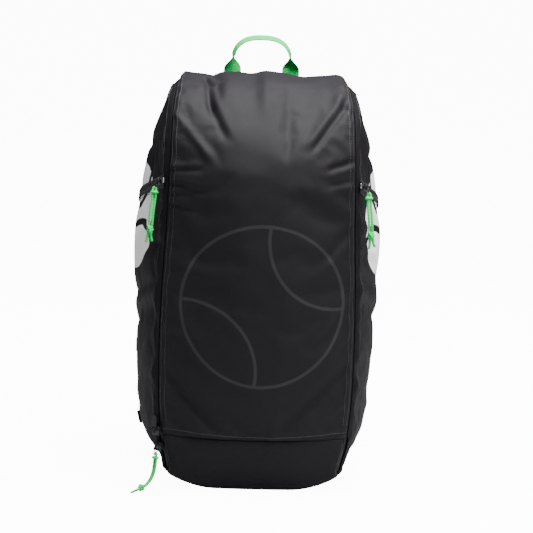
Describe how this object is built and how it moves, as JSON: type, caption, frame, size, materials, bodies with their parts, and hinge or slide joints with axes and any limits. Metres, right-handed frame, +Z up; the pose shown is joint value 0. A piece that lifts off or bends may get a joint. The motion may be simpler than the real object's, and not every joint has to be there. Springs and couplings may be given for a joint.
{
  "type": "racket backpack",
  "caption": "Tall padded backpack for rackets: full-length zipped front door, side zip pockets, cord zip pulls, webbing grab handle and padded shoulder straps.",
  "frame": {"origin": "on the floor, under the middle of the base", "axes": "+Z up, -Y out of the front door, +X to the right as seen from the front"},
  "size_m": [0.305, 0.2584, 0.543],
  "materials": {
    "shell_fabric": "smooth semi-matt woven polyester, near black",
    "lining_fabric": "matt lining, dark grey",
    "mesh_fabric": "matt spacer mesh over foam, black",
    "green_webbing": "woven webbing, bright green",
    "green_cord": "braided 3 mm cord, bright green",
    "zip_teeth": "black coil zip on woven tape",
    "dark_metal": "black nickel",
    "bright_metal": "plain steel",
    "black_plastic": "moulded acetal, fine grain",
    "stiff_board": "plain sheet"
  },
  "bodies": {
    "bag_body": {"left_side_panel": "shell_fabric", "right_side_panel": "shell_fabric", "base_panel": "shell_fabric", "base_board": "stiff_board", "back_panel": "mesh_fabric", "back_stiffener": "stiff_board", "strap_yoke": "shell_fabric", "back_piping_left": "shell_fabric", "back_piping_right": "shell_fabric", "back_pad_left": "mesh_fabric", "back_pad_right": "mesh_fabric", "lumbar_pad": "mesh_fabric", "racket_sleeve": "lining_fabric", "left_pocket_lining": "lining_fabric", "right_pocket_lining": "lining_fabric", "front_zip_body_half": "zip_teeth", "side_zip_left": "zip_teeth", "side_zip_right": "zip_teeth", "side_zip_stop_left": "bright_metal", "side_zip_stop_right": "bright_metal", "handle_tab_left": "green_webbing", "handle_tab_right": "green_webbing", "strap_anchor_left": "black_plastic", "strap_anchor_right": "black_plastic"},
    "front_door": {"front_upper_panel": "shell_fabric", "front_lower_panel": "shell_fabric", "front_zip_door_half": "zip_teeth"},
    "front_upper_slider": {"front_upper_slider": "dark_metal"},
    "front_upper_pull": {"front_upper_pull": "black_plastic"},
    "front_lower_slider": {"front_lower_slider": "dark_metal"},
    "front_lower_pull": {"front_lower_pull_ring": "bright_metal", "front_lower_cord_a": "green_cord", "front_lower_cord_b": "green_cord", "front_lower_cord_knot": "green_cord"},
    "side_slider_left": {"side_slider_left": "dark_metal"},
    "side_pull_left": {"side_pull_ring_left": "bright_metal", "left_side_cord_a": "green_cord", "left_side_cord_b": "green_cord", "left_side_cord_knot": "green_cord"},
    "side_slider_right": {"side_slider_right": "dark_metal"},
    "side_pull_right": {"side_pull_ring_right": "bright_metal", "right_side_cord_a": "green_cord", "right_side_cord_b": "green_cord", "right_side_cord_knot": "green_cord"},
    "grab_handle": {"grab_handle": "green_webbing"},
    "shoulder_strap_left": {"shoulder_strap_left": "mesh_fabric", "ladder_lock_left": "black_plastic"},
    "shoulder_strap_right": {"shoulder_strap_right": "mesh_fabric", "ladder_lock_right": "black_plastic"},
    "strap_webbing_left": {"strap_webbing_left": "green_webbing"},
    "strap_webbing_right": {"strap_webbing_right": "green_webbing"}
  },
  "joints": [
    {"name": "front_door_hinge", "type": "hinge", "parent": "bag_body", "child": "front_door", "pos_m": [0, -0.0922, 0.005], "axis": [1, 0, 0], "range_deg": [0, 75]},
    {"name": "front_upper_slide", "type": "slide", "parent": "bag_body", "child": "front_upper_slider", "axis": [0.0036, 0.0133, 0.9999], "range_m": [0, 0.27]},
    {"name": "front_upper_pull_hinge", "type": "hinge", "parent": "front_upper_slider", "child": "front_upper_pull", "pos_m": [-0.12232, -0.08706, 0.07405], "axis": [-0.7072, 0.707, -0.0069], "range_deg": [-165, 0]},
    {"name": "front_lower_slide", "type": "slide", "parent": "bag_body", "child": "front_lower_slider", "axis": [0.0036, 0.0133, 0.9999], "range_m": [-0.034, 0]},
    {"name": "front_lower_pull_hinge", "type": "hinge", "parent": "front_lower_slider", "child": "front_lower_pull", "pos_m": [-0.1194, -0.08729, 0.05405], "axis": [-0.7073, 0.7069, -0.0069], "range_deg": [0, 90]},
    {"name": "side_slide_left", "type": "slide", "parent": "bag_body", "child": "side_slider_left", "axis": [-0.2549, 0.923, -0.2883], "range_m": [0, 0.1105]},
    {"name": "side_pull_hinge_left", "type": "hinge", "parent": "side_slider_left", "child": "side_pull_left", "pos_m": [-0.12749, -0.07434, 0.37949], "axis": [-0.2549, 0.923, -0.2883], "range_deg": [0, 80]},
    {"name": "side_slide_right", "type": "slide", "parent": "bag_body", "child": "side_slider_right", "axis": [0.2549, 0.923, -0.2883], "range_m": [0, 0.1105]},
    {"name": "side_pull_hinge_right", "type": "hinge", "parent": "side_slider_right", "child": "side_pull_right", "pos_m": [0.12749, -0.07434, 0.37949], "axis": [0.2549, 0.923, -0.2883], "range_deg": [-80, 0]},
    {"name": "grab_handle_hinge", "type": "hinge", "parent": "bag_body", "child": "grab_handle", "pos_m": [0, 0.1098, 0.506], "axis": [1, 0, 0], "range_deg": [-75, 60]},
    {"name": "shoulder_strap_hinge_left", "type": "hinge", "parent": "bag_body", "child": "shoulder_strap_left", "pos_m": [-0.044, 0.113, 0.452], "axis": [1, 0, 0], "range_deg": [0, 8]},
    {"name": "strap_webbing_hinge_left", "type": "hinge", "parent": "bag_body", "child": "strap_webbing_left", "pos_m": [-0.134, 0.1125, 0.048], "axis": [1, 0, 0], "range_deg": [-27.2, 0]},
    {"name": "shoulder_strap_hinge_right", "type": "hinge", "parent": "bag_body", "child": "shoulder_strap_right", "pos_m": [0.044, 0.113, 0.452], "axis": [1, 0, 0], "range_deg": [0, 8]},
    {"name": "strap_webbing_hinge_right", "type": "hinge", "parent": "bag_body", "child": "strap_webbing_right", "pos_m": [0.134, 0.1125, 0.048], "axis": [1, 0, 0], "range_deg": [-27.2, 0]}
  ],
  "couplings": [
    {"joint": "strap_webbing_hinge_left", "follows": "shoulder_strap_hinge_left", "ratio": -3.4},
    {"joint": "strap_webbing_hinge_right", "follows": "shoulder_strap_hinge_right", "ratio": -3.4}
  ]
}
